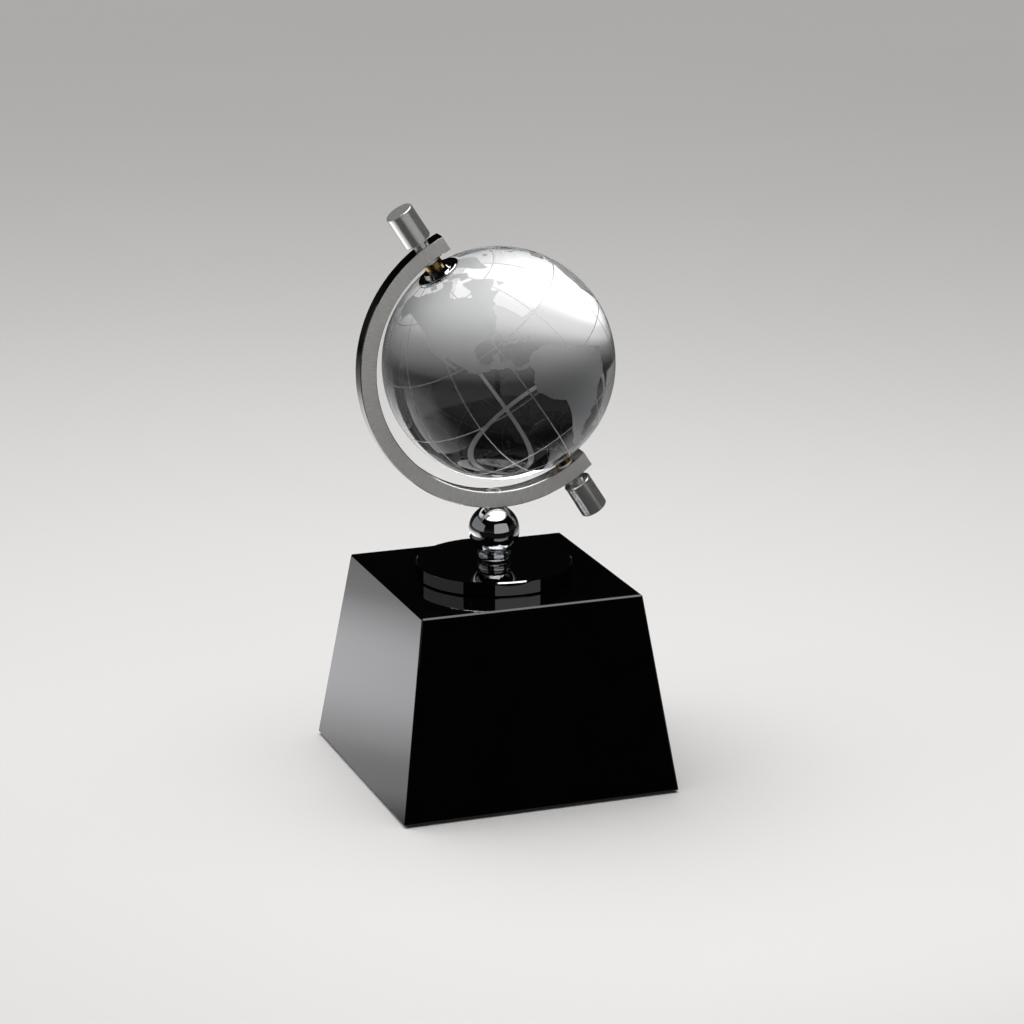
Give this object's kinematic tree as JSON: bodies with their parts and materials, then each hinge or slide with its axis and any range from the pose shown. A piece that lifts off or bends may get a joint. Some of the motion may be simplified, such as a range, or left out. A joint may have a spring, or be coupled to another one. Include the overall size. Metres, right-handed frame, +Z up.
{
  "type": "crystal globe award",
  "caption": "Clear crystal ball etched as a world globe, spinning in a tilted metal arc on a ball stem, foot disc and tapered black crystal base.",
  "frame": {"origin": "centre of the felt pad's underside, which is the middle of the whole object's footprint", "axes": "+Z up, +X to the right along the plane of the arc, the base's front face towards -Y"},
  "size_m": [0.0996, 0.0996, 0.2026],
  "materials": {
    "clear_crystal": "polished, with frosted land areas and fine etched grid lines",
    "black_crystal": "polished, with small bevels",
    "satin_nickel": "satin-brushed front and back, polished inside and outside",
    "polished_chrome": "mirror polished",
    "black_chrome": "dark, mirror polished",
    "satin_chrome": "fine satin",
    "bush_brass": "turned",
    "zinc_steel": "zinc plated",
    "pin_steel": "ground",
    "black_rubber": "matt",
    "natural_nylon": "matt",
    "black_felt": "napped"
  },
  "bodies": {
    "stand": {"base_pad": "black_felt", "base_block": "black_crystal", "tie_rod": "zinc_steel", "tie_nut": "zinc_steel", "tie_washer": "zinc_steel", "cushion_washer": "black_rubber", "foot_gasket": "black_rubber", "foot_disc": "black_chrome", "stem_collar": "polished_chrome", "stem_ball": "polished_chrome", "arc_screw": "zinc_steel", "meridian_arc": "satin_nickel", "knob_north": "satin_chrome", "knob_south": "satin_chrome", "pivot_pin_north": "pin_steel", "pivot_pin_south": "pin_steel", "thrust_washer_north": "natural_nylon", "thrust_washer_south": "natural_nylon"},
    "globe": {"globe": "clear_crystal", "pole_cup_north": "polished_chrome", "pole_cup_south": "polished_chrome", "pole_bush_north": "bush_brass", "pole_bush_south": "bush_brass"}
  },
  "joints": [
    {"name": "globe_spin", "type": "hinge", "parent": "stand", "child": "globe", "pos_m": [0.0018, 0, 0.14503], "axis": [-0.5417, 0, 0.8406], "continuous": true}
  ]
}
